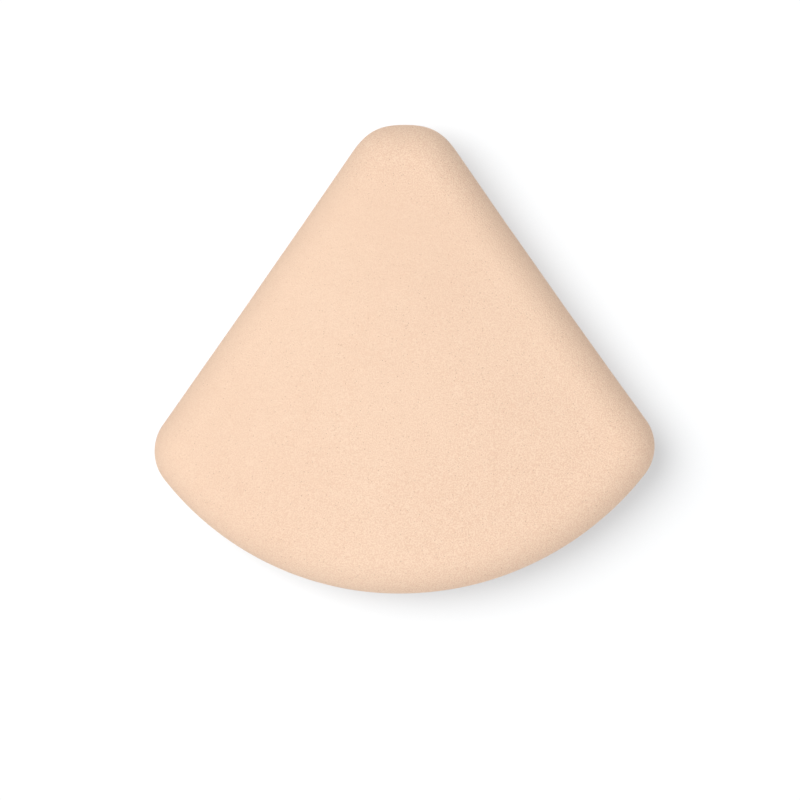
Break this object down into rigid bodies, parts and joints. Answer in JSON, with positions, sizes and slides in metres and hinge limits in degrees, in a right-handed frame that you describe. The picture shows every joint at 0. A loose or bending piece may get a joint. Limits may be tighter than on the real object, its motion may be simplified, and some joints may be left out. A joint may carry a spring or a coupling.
{
  "type": "powder puff",
  "caption": "Fan-shaped powder puff: a soft domed face over a foam core, welded round the side to a flat back that carries an elastic finger strap.",
  "frame": {"origin": "centre of the bounding box in plan, at the flat back that the puff lies on", "axes": "+Z out of the working face, +Y towards the tip of the fan, +X to the right when looking down on the face"},
  "size_m": [0.0698, 0.0654, 0.0124],
  "materials": {
    "face_skin": "matte fine-celled foam",
    "foam_core": "open-cell sponge",
    "back_skin": "matte fine-celled foam",
    "finger_strap": "satin elastic weave"
  },
  "bodies": {
    "strap": {"finger_strap": "finger_strap"},
    "pad": {"face_skin": "face_skin", "foam_core": "foam_core", "back_skin": "back_skin"}
  },
  "joints": [
    {"name": "finger_gap", "type": "slide", "parent": "strap", "child": "pad", "axis": [0, 0, 1], "range_m": [0, 0.009], "stiffness_N_per_m": 80, "deforming": ["finger_strap"]}
  ]
}
